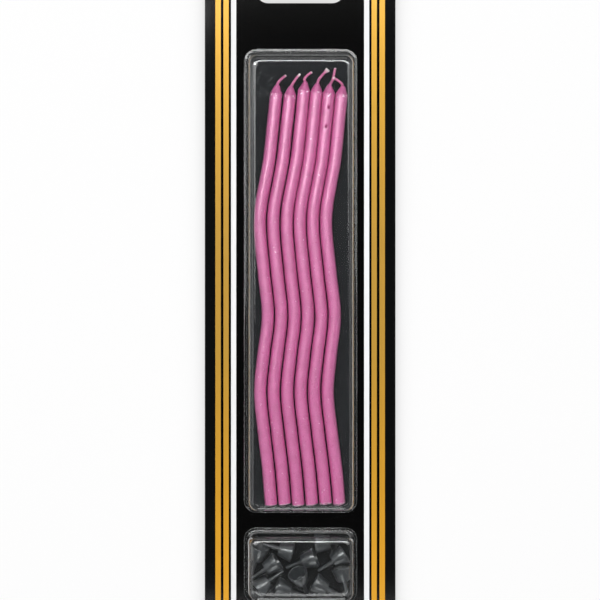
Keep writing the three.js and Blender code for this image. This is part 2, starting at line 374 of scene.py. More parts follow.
@dataclass(frozen=True)
class FormedFilm:
    """Clear polyester film, vacuum formed.

    It is smooth and glossy, bends what is seen through its fillets, and has faint scuffs. Its cut
    edge is frosty. Lamps reach through it to what it covers.
    """

    tint: str = "#f7f9f9"
    shade: str = "#f2f4f4"
    index: float = 1.5
    haze: float = 0.004
    roughness: float = 0.015
    scuff_roughness: float = 0.05
    scuff_size: float = 5 * MM
    scuff_edge: tuple[float, float] = (0.5, 0.75)
    # The patch of scratches: its middle on the bubble's face, and how far it reaches as it fades.
    scratched: tuple[float, float, float] = (-15.2 * MM, 74.5 * MM, 11.6 * MM)
    scratch_reach: tuple[float, float] = (3.5 * MM, 9 * MM)
    scratch_bend: float = 2.6 * MM
    scratch_width: float = 0.011
    scratch_breaks: tuple[float, float] = (0.48, 0.55)
    scratch_haze: float = 0.1
    cut_haze: float = 0.04
    ripple: float = 3.5 * MM
    ripple_depth: float = 0.008 * MM

    def scratches(self, tree: NodeSheet) -> Socket:
        """Marks the fine curved scratches, which lie in one patch.

        Args:
            tree: The node tree.

        Returns:
            A socket that is 1 in a scratch and 0 elsewhere.
        """
        field = tree.grain(self.scratch_bend, 1.0)
        away = tree.math("ABSOLUTE", tree.math("SUBTRACT", field, 0.5))
        line = tree.math("LESS_THAN", away, self.scratch_width)
        breaks = tree.ramp(tree.grain(self.scratch_bend / 2), *self.scratch_breaks)
        line = tree.math("MULTIPLY", line, breaks)
        values = {"operation": "DISTANCE", 0: tree.place(), 1: self.scratched}
        gap = tree.add("ShaderNodeVectorMath", values).outputs["Value"]
        patch = tree.math("SUBTRACT", 1.0, tree.ramp(gap, *self.scratch_reach))
        return tree.math("MULTIPLY", line, patch)

    def material(self) -> bpy.types.Material:
        """Builds the material.

        Returns:
            The material.
        """
        material, tree = new_material("vacuum_formed_polyester_film")
        scuffs = tree.ramp(tree.grain(self.scuff_size), *self.scuff_edge)
        clear = tree.ramp(self.scratches(tree), 0, 1, 1 - self.haze, 1 - self.scratch_haze)
        frost = tree.math("MULTIPLY", tree.marked("cut"), self.cut_haze)
        surface = {
            "IOR": self.index,
            "Base Color": linear(self.tint),
            "Roughness": tree.ramp(scuffs, 0, 1, self.roughness, self.scuff_roughness),
            "Transmission Weight": tree.math("SUBTRACT", clear, frost),
            "Normal": tree.bump(tree.grain(self.ripple, 1.0), self.ripple_depth),
        }
        film = tree.add("ShaderNodeBsdfPrincipled", surface).outputs[0]
        through = tree.add("ShaderNodeBsdfTransparent", {"Color": linear(self.shade)}).outputs[0]
        shadow = tree.add("ShaderNodeLightPath").outputs["Is Shadow Ray"]
        tree.put_out(tree.add("ShaderNodeMixShader", {0: shadow, 1: film, 2: through}))
        return material


@dataclass(frozen=True)
class PearlWax:
    """Paraffin wax, cast and dipped in a pearly pink coat.

    Mica flakes in the coat give it a soft metal sheen with a fine grain, and knocks leave pale specks
    and pits. The pits' dents are darkened with painted shade, and the foot's end carries a painted
    highlight in pale patches where it faces down the card.
    """

    coat: str = "#bb4b88"
    coat_light: str = "#c65594"
    cloud_size: float = 3 * MM
    mottle_size: float = 0.55 * MM
    mottle_share: float = 0.4
    # Where the noise turns from one tone to the other.
    tones: tuple[float, float] = (0.3, 0.7)
    speck: str = "#fbdcee"
    speck_size: float = 0.7 * MM
    speck_edge: tuple[float, float] = (0.735, 0.79)
    scuff_share: float = 0.16
    # Painted shade: the colour that darkens the pits' dents.
    pit_painted_shade: str = "#7d1c50"
    # Painted highlight: pale patches on the foot's end.
    foot_highlight_colour: str = "#f8cfe4"
    highlight_patch_size: float = 0.9 * MM
    highlight_patch_edge: tuple[float, float] = (0.3, 0.55)
    flake_size: float = 0.22 * MM
    flake_depth: float = 0.006 * MM
    flake_strength: float = 0.4
    flake_metal: float = 0.25
    flake_roughness: tuple[float, float] = (0.4, 0.48)
    wax_index: float = 1.45
    wax_gloss: float = 0.5
    pearl_index: float = 2.0
    pearl_roughness: tuple[float, float] = (0.27, 0.35)

    def material(self) -> bpy.types.Material:
        """Builds the material.

        Returns:
            The material.
        """
        material, tree = new_material("pearl_dipped_paraffin_wax")
        mottle = tree.grain(self.mottle_size, 3.0)
        faint = tree.math("MULTIPLY", mottle, self.mottle_share)
        clouds = tree.math("ADD", tree.grain(self.cloud_size, 3.0), faint)
        clouds = tree.ramp(clouds, *(tone + self.mottle_share / 2 for tone in self.tones))
        knocks = tree.math("MULTIPLY", tree.marked("scuffed"), self.scuff_share)
        specks = tree.math("ADD", tree.grain(self.speck_size, 1.0), knocks)
        specks = tree.ramp(specks, *self.speck_edge)
        pits = tree.marked("pit_painted_shade")
        whole = tree.math("SUBTRACT", 1.0, pits)
        # Painted highlight: pale patches on the foot's end where it faces down the card.
        chips = tree.ramp(tree.grain(self.highlight_patch_size, 1.0), *self.highlight_patch_edge)
        broken = tree.math("MULTIPLY", tree.marked("foot_highlight"), chips)
        colour = tree.mix(clouds, linear(self.coat), linear(self.coat_light))
        # Pale specks are wear; the pits get painted shade and the foot's end a painted highlight.
        for share, shown in ((specks, self.speck), (pits, self.pit_painted_shade), (broken, self.foot_highlight_colour)):
            colour = tree.mix(share, colour, linear(shown))
        flakes = tree.grain(self.flake_size, 3.0)
        surface = {
            "IOR": self.wax_index,
            "Coat IOR": self.pearl_index,
            "Base Color": colour,
            "Metallic": tree.math("MULTIPLY", whole, self.flake_metal),
            "Specular IOR Level": tree.math("MULTIPLY", whole, self.wax_gloss),
            "Coat Weight": whole,
            "Coat Roughness": tree.ramp(mottle, *self.tones, *self.pearl_roughness),
            "Roughness": tree.ramp(flakes, *self.tones, *self.flake_roughness),
            "Normal": tree.bump(flakes, self.flake_depth, self.flake_strength),
        }
        tree.put_out(tree.add("ShaderNodeBsdfPrincipled", surface))
        return material


@dataclass(frozen=True)
class WaxedCotton:
    """Plied cotton soaked in pink wax.

    The wax makes it pink and slightly glossy, and the cut end shows pale bare fibres.
    """

    waxed: str = "#d884a8"
    waxed_dark: str = "#b85486"
    lump_size: float = 0.5 * MM
    lump_edge: tuple[float, float] = (0.35, 0.65)
    waxed_roughness: float = 0.42
    wax_index: float = 1.45
    bare: str = "#ece4e2"
    bare_roughness: float = 0.8
    fibre_size: float = 0.12 * MM
    fibre_depth: float = 0.02 * MM

    def material(self) -> bpy.types.Material:
        """Builds the material.

        Returns:
            The material.
        """
        material, tree = new_material("wax_soaked_plied_cotton")
        lumps = tree.ramp(tree.grain(self.lump_size, 3.0), *self.lump_edge)
        waxed = tree.mix(lumps, linear(self.waxed_dark), linear(self.waxed))
        bare = tree.marked("bare")
        surface = {
            "IOR": self.wax_index,
            "Base Color": tree.mix(bare, waxed, linear(self.bare)),
            "Roughness": tree.ramp(bare, 0, 1, self.waxed_roughness, self.bare_roughness),
            "Normal": tree.bump(tree.grain(self.fibre_size), self.fibre_depth),
        }
        tree.put_out(tree.add("ShaderNodeBsdfPrincipled", surface))
        return material


@dataclass(frozen=True)
class MouldedPlastic:
    """Polystyrene, injection moulded in a polished tool and coloured through.

    It is dark grey and half glossy with faint flow marks, and its skin takes sharp highlights.
    """

    colour: str = "#202224"
    flow_colour: str = "#292b2e"
    flow_size: float = 2.2 * MM
    flow_edge: tuple[float, float] = (0.35, 0.65)
    index: float = 1.59
    roughness: float = 0.36
    flow_roughness: float = 0.44
    skin: float = 0.9
    skin_roughness: float = 0.09
    sink_size: float = 1.2 * MM
    sink_depth: float = 0.002 * MM

    def material(self) -> bpy.types.Material:
        """Builds the material.

        Returns:
            The material.
        """
        material, tree = new_material("injection_moulded_polystyrene")
        flow = tree.ramp(tree.grain(self.flow_size), *self.flow_edge)
        surface = {
            "IOR": self.index,
            "Coat Weight": self.skin,
            "Coat Roughness": self.skin_roughness,
            "Coat IOR": self.index,
            "Base Color": tree.mix(flow, linear(self.colour), linear(self.flow_colour)),
            "Roughness": tree.ramp(flow, 0, 1, self.roughness, self.flow_roughness),
            "Normal": tree.bump(tree.grain(self.sink_size), self.sink_depth),
        }
        tree.put_out(tree.add("ShaderNodeBsdfPrincipled", surface))
        return material


@dataclass(frozen=True)
class StudioSweep:
    """White paper sweep under the pack. It shows nearly white, keeps the pack's shadow, and has a
    painted shadow beside the card.
    """

    paper: str = "#f6f6f6"
    paper_fibre: str = "#f2f2f2"
    fibre_size: float = 0.8 * MM
    glow_share: float = 0.8
    # Painted shadow: the light the paper loses where the card is near, and how far out that reaches.
    shade: float = 0.28
    shade_reach: float = 2.1 * MM
    card_size: tuple[float, float] = (68.6 * MM, 245 * MM)

    def painted_card_shadow(self, tree: NodeSheet) -> Socket:
        """Paints a shadow on the paper beside the card.

        Args:
            tree: The node tree.

        Returns:
            The socket of the light that the paper keeps, from 0 to 1.
        """
        axes = tree.axes(tree.place())
        squares = []
        for axis, side in zip("XY", self.card_size):
            out = tree.math("SUBTRACT", tree.math("ABSOLUTE", axes[axis]), side / 2)
            gap = tree.math("MAXIMUM", out, 0.0)
            squares.append(tree.math("MULTIPLY", gap, gap))
        distance = tree.math("SQRT", tree.math("ADD", *squares))
        fall = tree.math("DIVIDE", distance, -self.shade_reach)
        lost = tree.math("MULTIPLY", tree.math("EXPONENT", fall), self.shade)
        return tree.math("SUBTRACT", 1.0, lost)

    def material(self) -> bpy.types.Material:
        """Builds the material.

        Returns:
            The material.
        """
        material, tree = new_material("white_paper_sweep")
        fibres = tree.grain(self.fibre_size)
        colour = tree.mix(fibres, linear(self.paper), linear(self.paper_fibre))
        paper = tree.add("ShaderNodeBsdfDiffuse", {"Color": colour}).outputs[0]
        glow = tree.add("ShaderNodeEmission", {"Strength": self.painted_card_shadow(tree)}).outputs[0]
        path = tree.add("ShaderNodeLightPath").outputs
        seen = tree.math("MAXIMUM", path["Is Camera Ray"], path["Is Glossy Ray"])
        seen = tree.math("MAXIMUM", seen, path["Is Transmission Ray"])
        share = tree.math("MULTIPLY", seen, self.glow_share)
        tree.put_out(tree.add("ShaderNodeMixShader", {0: share, 1: paper, 2: glow}))
        return material


def place_piece(
    piece: Piece, node: str, body: str, material: bpy.types.Material | None = None
) -> None:
    """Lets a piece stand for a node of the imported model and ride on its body.

    Args:
        piece: The finished piece.
        node: The node's name.
        body: The body's name.
        material: The piece's material, or None if its mesh has one.
    """
    if material is not None:
        piece.data.materials.clear()
        piece.data.materials.append(material)
    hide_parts(node)
    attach(piece, body)
    LOG.info("%s stands for %s on body %s", piece.name, node, body)


def link_object(name: str, data: bpy.types.ID) -> Piece:
    """Puts a mesh, a curve, a lamp or a camera into the scene.

    Args:
        name: The object's name.
        data: What the object shows.

    Returns:
        The new object, at the origin.
    """
    piece = bpy.data.objects.new(name, data)
    bpy.context.scene.collection.objects.link(piece)
    return piece


def mesh_from(name: str, points: list[Vector], faces: list[tuple[int, ...]]) -> bpy.types.Mesh:
    """Makes a smooth mesh with its doubles merged and its faces turned outwards.

    Args:
        name: The mesh's name.
        points: The vertices.
        faces: The faces, as places in points.

    Returns:
        The mesh.
    """
    mesh = bpy.data.meshes.new(name)
    mesh.from_pydata(points, [], faces)
    shape = bmesh.new()
    shape.from_mesh(mesh)
    bmesh.ops.remove_doubles(shape, verts=shape.verts, dist=MERGE)
    bmesh.ops.dissolve_degenerate(shape, edges=shape.edges, dist=MERGE / 10)
    bmesh.ops.recalc_face_normals(shape, faces=shape.faces)
    for face in shape.faces:
        face.smooth = True
    shape.to_mesh(mesh)
    shape.free()
    return mesh


def mesh_of_rings(name: str, rings: list[list[Vector]]) -> bpy.types.Mesh:
    """Makes a smooth mesh that joins closed rings of points, each to the next.

    Args:
        name: The mesh's name.
        rings: The rings, with as many points in each.

    Returns:
        The mesh.
    """
    count = len(rings[0])
    faces = []
    for low in range(0, (len(rings) - 1) * count, count):
        high = low + count
        for i in range(count):
            after = (i + 1) % count
            faces.append((low + i, low + after, high + after, high + i))
    return mesh_from(name, [point for ring in rings for point in ring], faces)


def baked(piece: Piece, name: str) -> Piece:
    """Turns what a piece's modifiers make into a plain mesh, and removes the piece.

    Args:
        piece: The object with live modifiers.
        name: The new object's name.

    Returns:
        The new object, whose mesh has no modifier.
    """
    bpy.context.view_layer.update()
    graph = bpy.context.evaluated_depsgraph_get()
    mesh = bpy.data.meshes.new_from_object(piece.evaluated_get(graph))
    bpy.data.objects.remove(piece)
    return link_object(name, mesh)


def path_object(name: str, points: list[Vector], radii: list[float]) -> Piece:
    """Makes a curve object through points, with a radius at each.

    Args:
        name: The object's name.
        points: The points in metres.
        radii: A radius in metres for each point.

    Returns:
        The curve object.
    """
    curve = bpy.data.curves.new(name, "CURVE")
    curve.dimensions = "3D"
    spline = curve.splines.new("POLY")
    spline.points.add(len(points) - 1)
    for target, point, radius in zip(spline.points, points, radii):
        target.co = (*point, 1.0)
        target.radius = radius
    return link_object(name, curve)


class GeometrySheet(NodeSheet):
    """A geometry node tree that takes geometry and a finish, and gives geometry."""

    def __init__(self, name: str, counts: tuple[str, ...], numbers: tuple[str, ...]) -> None:
        """Starts the tree with its inputs.

        Args:
            name: The tree's name.
            counts: The names of its whole-number inputs.
            numbers: The names of its other number inputs.
        """
        super().__init__(bpy.data.node_groups.new(name, "GeometryNodeTree"))
        kinds = [("Geometry", "NodeSocketGeometry")]
        kinds += [(key, "NodeSocketInt") for key in counts]
        kinds += [(key, "NodeSocketFloat") for key in numbers]
        kinds += [("Finish", "NodeSocketMaterial")]
        sockets = self.tree.interface
        for key, kind in kinds:
            sockets.new_socket(key, in_out="INPUT", socket_type=kind)
        sockets.new_socket("Geometry", in_out="OUTPUT", socket_type="NodeSocketGeometry")
        self.inputs = {s.name: s for s in self.add("NodeGroupInput").outputs if s.name}

    def scaled(self, vector: Socket, length: Socket) -> Socket:
        """Returns a vector multiplied by a number."""
        values = {"operation": "SCALE", 0: vector, "Scale": length}
        return self.add("ShaderNodeVectorMath", values).outputs[0]

    def moved(self, geometry: Socket, offset: Socket) -> Socket:
        """Returns a geometry with each point moved by an offset."""
        values = {"Geometry": geometry, "Offset": offset}
        return self.add("GeometryNodeSetPosition", values).outputs[0]

    def stored(self, geometry: Socket, name: str, number: Socket) -> Socket:
        """Stores a number at each point of a geometry.

        Args:
            geometry: The geometry's socket.
            name: The attribute's name.
            number: The number's socket.

        Returns:
            The marked geometry's socket.
        """
        values = {"data_type": "FLOAT", "domain": "POINT", "Name": name}
        values |= {"Geometry": geometry, "Value": number}
        return self.add("GeometryNodeStoreNamedAttribute", values).outputs[0]

    def swept(self, path: Socket, sides: object, radius: Socket) -> Socket:
        """Sweeps a round section along a path and closes its ends.

        Args:
            path: The path's socket.
            sides: How many sides the section has, as a number or a socket.
            radius: The socket of the section's radius.

        Returns:
            The swept geometry's socket.
        """
        circle = {"Resolution": sides, "Radius": 1.0}
        section = self.add("GeometryNodeCurvePrimitiveCircle", circle).outputs[0]
        values = {"Fill Caps": True, "Curve": path, "Profile Curve": section, "Scale": radius}
        return self.add("GeometryNodeCurveToMesh", values).outputs[0]

    def seeded_noise(self, size: Socket, seed: Socket, detail: float) -> Socket:
        """Adds noise that differs from seed to seed.

        Args:
            size: The socket of a lump's width.
            seed: The seed's socket.
            detail: How many finer layers it has.

        Returns:
            The noise's socket, from 0 to 1.
        """
        values = {"noise_dimensions": "4D", "Detail": detail, "W": seed}
        values |= {"Scale": self.math("DIVIDE", 1.0, size)}
        return self.add("ShaderNodeTexNoise", values).outputs["Fac"]

    def faded(self, distance: Socket, reach: Socket) -> Socket:
        """Fades from 1 to 0 over a reach.

        Args:
            distance: The distance's socket.
            reach: The socket of the distance from which nothing is left.

        Returns:
            The share's socket.
        """
        left = self.math("SUBTRACT", 1.0, self.math("DIVIDE", distance, reach))
        return self.math("MAXIMUM", left, 0.0)

    def end(self, geometry: Socket) -> None:
        """Ends the tree: smooth faces, real instances and the finish.

        Args:
            geometry: The geometry's socket.
        """
        for kind in ("GeometryNodeSetShadeSmooth", "GeometryNodeRealizeInstances"):
            geometry = self.add(kind, {"Geometry": geometry}).outputs[0]
        values = {"Geometry": geometry, "Material": self.inputs["Finish"]}
        dressed = self.add("GeometryNodeSetMaterial", values).outputs[0]
        self.add("NodeGroupOutput", {0: dressed})

    def run_on(self, piece: Piece, values: dict[str, object]) -> None:
        """Puts the tree on an object, with its inputs set.

        Args:
            piece: The object that feeds the tree.
            values: The inputs' values by name.
        """
        modifier = piece.modifiers.new(self.tree.name, "NODES")
        modifier.node_group = self.tree
        for item in self.tree.interface.items_tree:
            if item.item_type == "SOCKET" and item.in_out == "INPUT" and item.name in values:
                modifier[item.identifier] = values[item.name]


def wax_tree() -> GeometrySheet:
    """Builds the tree that sweeps a candle's round section along its path.

    The section follows the path's radius. Slow noise makes the dipped coat uneven, the foot is
    cut aslant and broken, and the wax below the shoulder is marked as scuffed.

    Returns:
        The geometry node tree.
    """
    numbers = ("Unevenness", "Wave length", "Break depth", "Break size", "Break reach", "Slant")
    numbers += ("Foot across", "Shoulder at", "Scuff reach", "Seed")
    tree = GeometrySheet("dipped_wax_along_path", ("Sides",), numbers)
    value = tree.inputs
    along = tree.add("GeometryNodeSplineParameter").outputs["Length"]
    path = tree.stored(value["Geometry"], "along", along)
    radius = tree.add("GeometryNodeInputRadius").outputs[0]
    wax = tree.swept(path, value["Sides"], radius)

    slow = tree.seeded_noise(value["Wave length"], value["Seed"], 1.0)
    swell = tree.math("MULTIPLY", tree.math("SUBTRACT", slow, 0.5), value["Unevenness"])
    normal = tree.add("GeometryNodeInputNormal").outputs[0]
    wax = tree.moved(wax, tree.scaled(normal, swell))

    values = {"data_type": "FLOAT", "Name": "along"}
    distance = tree.add("GeometryNodeInputNamedAttribute", values).outputs["Attribute"]
    place = tree.add("GeometryNodeInputPosition").outputs[0]
    aside = tree.math("SUBTRACT", tree.axes(place)["X"], value["Foot across"])
    tilt = tree.math("MULTIPLY", aside, value["Slant"])
    chips = tree.ramp(tree.seeded_noise(value["Break size"], value["Seed"], 3.0), 0.4, 0.65)
    broken = tree.math("MULTIPLY", chips, value["Break depth"])
    near_foot = tree.faded(distance, value["Break reach"])
    lift = tree.math("MULTIPLY", tree.math("ADD", tilt, broken), near_foot)
    wax = tree.moved(wax, tree.add("ShaderNodeCombineXYZ", {"Y": lift}).outputs[0])

    below = tree.math("SUBTRACT", value["Shoulder at"], distance)
    under = tree.math("GREATER_THAN", below, 0.0)
    scuffed = tree.math("MULTIPLY", tree.faded(below, value["Scuff reach"]), under)
    tree.end(tree.stored(wax, "scuffed", scuffed))
    return tree


def strand_tree() -> GeometrySheet:
    """Builds the tree that lays plies of cotton round a wick's path.

    The plies turn round the path once in each lay, and splay at the wick's cut end.

    Returns:
        The geometry node tree.
    """
    numbers = ("Ply radius", "Ply offset", "Lay", "Splay", "Splay reach", "Bare reach", "Step")
    tree = GeometrySheet("plies_round_path", ("Plies",), numbers)
    value = tree.inputs
    values = {"mode": "LENGTH", "Curve": value["Geometry"], "Length": value["Step"]}
    even = tree.add("GeometryNodeResampleCurve", values).outputs[0]
    values = {"domain": "SPLINE", "Geometry": even, "Amount": value["Plies"]}
    copies = tree.add("GeometryNodeDuplicateElements", values).outputs

    along = tree.add("GeometryNodeSplineParameter").outputs["Length"]
    whole = tree.add("GeometryNodeSplineLength").outputs["Length"]
    to_end = tree.math("SUBTRACT", whole, along)
    share = tree.math("DIVIDE", copies["Duplicate Index"], value["Plies"])
    turns = tree.math("ADD", tree.math("DIVIDE", along, value["Lay"]), share)
    angle = tree.math("MULTIPLY", turns, 2 * math.pi)
    near_end = tree.faded(to_end, value["Splay reach"])
    splay = tree.math("MULTIPLY", near_end, value["Splay"])
    reach = tree.math("ADD", value["Ply offset"], splay)

    normal = tree.add("GeometryNodeInputNormal").outputs[0]
    tangent = tree.add("GeometryNodeInputTangent").outputs[0]
    values = {"operation": "CROSS_PRODUCT", 0: tangent, 1: normal}
    side = tree.add("ShaderNodeVectorMath", values).outputs[0]
    parts = []
    for way, wave in ((normal, "COSINE"), (side, "SINE")):
        length = tree.math("MULTIPLY", tree.math(wave, angle), reach)
        parts.append(tree.scaled(way, length))
    values = {"operation": "ADD", 0: parts[0], 1: parts[1]}
    laid = tree.moved(copies[0], tree.add("ShaderNodeVectorMath", values).outputs[0])

    laid = tree.stored(laid, "bare", tree.faded(to_end, value["Bare reach"]))
    radius = tree.add("GeometryNodeInputRadius").outputs[0]
    thickness = tree.math("MULTIPLY", radius, value["Ply radius"])
    tree.end(tree.swept(laid, PLY_SIDES, thickness))
    return tree


def arc(centre: tuple[float, float], radius: float, start: float, end: float, steps: int) -> Ring:
    """Lists points on an arc.

    Args:
        centre: The arc's centre.
        radius: The arc's radius.
        start: The first angle in degrees.
        end: The last angle in degrees.
        steps: How many steps the arc has.

    Returns:
        The points, both ends included.
    """
    angles = [math.radians(start + (end - start) * i / steps) for i in range(steps + 1)]
    return [(centre[0] + radius * math.cos(a), centre[1] + radius * math.sin(a)) for a in angles]


def rounded_ring(
    half_x: float, half_y: float, radius: float, corner: int, spans: tuple[int, int]
) -> Ring:
    """Lists points round a rectangle with round corners.

    Args:
        half_x: Half its width.
        half_y: Half its length.
        radius: Its corners' radius.
        corner: The steps in each corner.
        spans: The steps along its top and along its side.

    Returns:
        The points, with the same number for any size.
    """
    radius = max(min(radius, half_x, half_y), 0.0)
    x, y = half_x - radius, half_y - radius
    ring: Ring = []
    top, side = spans
    corners = (((x, y), 0, top), ((-x, y), 90, side), ((-x, -y), 180, top), ((x, -y), 270, side))
    for place, (centre, start, steps) in enumerate(corners):
        bend = arc(centre, radius, start, start + 90, corner)
        ring += bend
        following = corners[(place + 1) % len(corners)]
        goal = arc(following[0], radius, following[1], following[1] + 90, corner)[0]
        here = bend[-1]
        run_x, run_y = (goal[0] - here[0]) / steps, (goal[1] - here[1]) / steps
        ring += [(here[0] + run_x * i, here[1] + run_y * i) for i in range(1, steps)]
    return ring


@dataclass
class HangCard:
    """The printed board with its hang slot."""

    width: float = 68.6 * MM
    length: float = 245 * MM
    thickness: float = CARD_FRONT
    corner_radius: float = 2.5 * MM
    edge_rounding: float = 0.05 * MM
    slot_width: float = 32 * MM
    slot_height: float = 9 * MM
    slot_from_top: float = 8.8 * MM
    hump_radius: float = 6 * MM
    hump_rise: float = 1.5 * MM
    slot_steps: int = 16
    corner_steps: int = 10
    side_steps: tuple[int, int] = (4, 8)

    def slot_outline(self) -> Ring:
        """Draws the slot's outline: straight, with round ends and a hump above.

        Returns:
            The outline's points, clockwise.
        """
        end = self.slot_height / 2
        x = self.slot_width / 2 - end
        top = self.length / 2 - self.slot_from_top
        hump = top + self.hump_rise - self.hump_radius
        angle = math.degrees(math.asin((self.hump_radius - self.hump_rise) / self.hump_radius))
        steps = self.slot_steps
        outline = arc((x, top - end), end, -90, 90, steps)
        outline += arc((0, hump), self.hump_radius, angle, 180 - angle, steps)
        outline += arc((-x, top - end), end, 90, 270, steps)
        return outline[::-1]

    def outline_curve(self) -> bpy.types.Curve:
        """Draws the card's outline with its slot and gives it the board's thickness.

        Returns:
            The curve.
        """
        curve = bpy.data.curves.new("card_outline", "CURVE")
        curve.dimensions = "2D"
        curve.fill_mode = "BOTH"
        curve.extrude = self.thickness / 2 - self.edge_rounding
        curve.bevel_depth = self.edge_rounding
        curve.bevel_resolution = 2
        curve.offset = -self.edge_rounding
        size = (self.width / 2, self.length / 2, self.corner_radius)
        outer = rounded_ring(*size, self.corner_steps, self.side_steps)
        for ring in (outer, self.slot_outline()):
            spline = curve.splines.new("POLY")
            spline.points.add(len(ring) - 1)
            spline.use_cyclic_u = True
            for target, (x, y) in zip(spline.points, ring):
                target.co = (x, y, 0.0, 1.0)
        return curve

    def build(self, finish: PrintedBoard) -> None:
        """Builds the card.

        Args:
            finish: The board's finish.
        """
        card = baked(link_object("card_outline", self.outline_curve()), "printed_card")
        for vertex in card.data.vertices:
            vertex.co.z += self.thickness / 2
        shape = bmesh.new()
        shape.from_mesh(card.data)
        bmesh.ops.remove_doubles(shape, verts=shape.verts, dist=MERGE)
        bmesh.ops.recalc_face_normals(shape, faces=shape.faces)
        shape.to_mesh(card.data)
        shape.free()
        place_piece(card, "hang_card", Body.CARD.value, finish.material())


@dataclass
class FormedBubble:
    """A bubble of clear film, open towards the card, with its sealing flange."""

    node: str
    body: Body
    middle: float
    length: float
    across: float = 0.13 * MM
    width: float = 40.8 * MM
    height: float = 11.12 * MM
    film: float = 0.35 * MM
    corner_radius: float = 4.2 * MM
    corner_sharpening: float = 0.48
    flange: float = 0.9 * MM
    lean: float = 0.85 * MM
    # How far the face lies from over the foot, across and up the card, and how far it is spread.
    face_shift: tuple[float, float] = (0.36 * MM, -1.1 * MM)
    face_spread: tuple[float, float] = (0.36 * MM, -0.15 * MM)
    shift_curve: float = 2.0
    fillet: float = 2.6 * MM
    # The fillet's height for its width.
    fillet_rise: float = 1.0
    foot_fillet: float = 0.16 * MM
    foot_inset: float = 0.05 * MM
    flange_lift: float = 0.03 * MM
    rolled_edge: float = 0.18 * MM
    # The wall leans in early below 1 and late above it.
    wall_curve: float = 0.5
    wall_waver: float = 0.03 * MM
    face_waver: float = 0.03 * MM
    waver_length: float = 12 * MM
    # How far apart two bubbles' wavers are drawn, for a metre between them.
    waver_apart: float = 99
    corner_steps: int = 12
    wall_steps: tuple[float, ...] = (0.08, 0.18, 0.3, 0.45, 0.62, 0.8, 1.0)
    face_steps: int = 7
    cell: float = 2.5 * MM

    def profile(self) -> Ring:
        """Draws the film's upper side from its trimmed edge to its face.

        Returns:
            Inset from the edge and height of each point.
        """
        wall_top = self.height - self.fillet * self.fillet_rise
        foot = self.flange + self.foot_inset
        rise = self.film + self.flange_lift
        roll = self.rolled_edge
        points = arc((roll, rise - roll), roll, 180, 90, 4)
        points += [(foot - self.foot_fillet, rise)]
        centre = (foot - self.foot_fillet, rise + self.foot_fillet)
        points += arc(centre, self.foot_fillet, -60, 0, 2)
        for share in self.wall_steps:
            inward = self.lean * share**self.wall_curve
            points.append((foot + inward, rise + (wall_top - rise) * share))
        for x, z in arc((foot + self.lean + self.fillet, 0), self.fillet, 180, 90, 12)[2:]:
            points.append((x, wall_top + z * self.fillet_rise))
        return points

    def rings(self) -> list[list[Vector]]:
        """Lists the rings of the film's upper side, from its edge to the face's middle line.

        Returns:
            The points of each ring.
        """
        half_x, half_y = self.width / 2, self.length / 2
        spans = (round(self.width / self.cell), round(self.length / self.cell))
        profile = self.profile()
        start = profile[-1][0]
        run = (min(half_x, half_y) - start) / self.face_steps
        profile += [(start + run * i, self.height) for i in range(1, self.face_steps + 1)]
        rings = []
        for inset, height in profile:
            radius = self.corner_radius - self.corner_sharpening * inset
            ring = rounded_ring(half_x - inset, half_y - inset, radius, self.corner_steps, spans)
            rings.append([self.waver(Vector((x, y, height)), inset) for x, y in ring])
        return rings

    def waver(self, point: Vector, inset: float) -> Vector:
        """Moves a point as formed film wavers, and puts it where the bubble is.

        Args:
            point: The point on a true bubble at the origin.
            inset: How far the point lies in from the trimmed edge.

        Returns:
            The point on the real bubble.
        """
        start = Vector((0, self.middle * self.waver_apart, 0))
        shift = noise.noise_vector(point / self.waver_length + start)
        wall = min(inset / self.flange, 1.0)
        moved = point + Vector((shift.x, shift.y, 0)) * self.wall_waver * wall
        rise = (point.z / self.height) ** self.shift_curve
        for axis, side in enumerate((self.width / 2, self.length / 2)):
            spread = self.face_spread[axis] * point[axis] / side
            moved[axis] += rise * (self.face_shift[axis] + spread)
        if inset > self.flange + self.lean:
            moved.z += shift.z * self.face_waver
        return moved + Vector((self.across, self.middle, CARD_FRONT))

    def build(self, finish: FormedFilm) -> None:
        """Builds the bubble.

        Args:
            finish: The film's finish.
        """
        film = link_object(f"{self.node}_film", mesh_of_rings(self.node, self.rings()))
        if sum(polygon.normal.z for polygon in film.data.polygons) < 0:
            film.data.flip_normals()
        cut = film.data.attributes.new("cut", "FLOAT", "POINT")
        for vertex in film.data.vertices:
            rolled = vertex.co.z - CARD_FRONT < self.film - self.rolled_edge / 3
            cut.data[vertex.index].value = float(rolled)
        wall = film.modifiers.new("film", "SOLIDIFY")
        wall.thickness = self.film
        wall.offset = -1
        wall.use_even_offset = True
        place_piece(film, self.node, self.body.value, finish.material())


def catmull_rom(points: list[Vector], steps: int) -> list[Vector]:
    """Lists points on a smooth curve through points, as a centripetal Catmull-Rom spline.

    Args:
        points: The points that the curve goes through.
        steps: The steps between two of them.

    Returns:
        The points of the curve.
    """
    ends = [2 * points[0] - points[1], *points, 2 * points[-1] - points[-2]]
    curve = []
    for i in range(1, len(ends) - 2):
        p0, p1, p2, p3 = ends[i - 1 : i + 3]
        d0, d1, d2 = (math.sqrt((b - a).length) for a, b in ((p0, p1), (p1, p2), (p2, p3)))
        m1 = ((p1 - p0) / d0 - (p2 - p0) / (d0 + d1) + (p2 - p1) / d1) * d1
        m2 = ((p2 - p1) / d1 - (p3 - p1) / (d1 + d2) + (p3 - p2) / d2) * d1
        for k in range(steps):
            t = k / steps
            curve.append(
                (2 * t**3 - 3 * t**2 + 1) * p1
                + (t**3 - 2 * t**2 + t) * m1
                + (3 * t**2 - 2 * t**3) * p2
                + (t**3 - t**2) * m2
            )
    return [*curve, points[-1]]


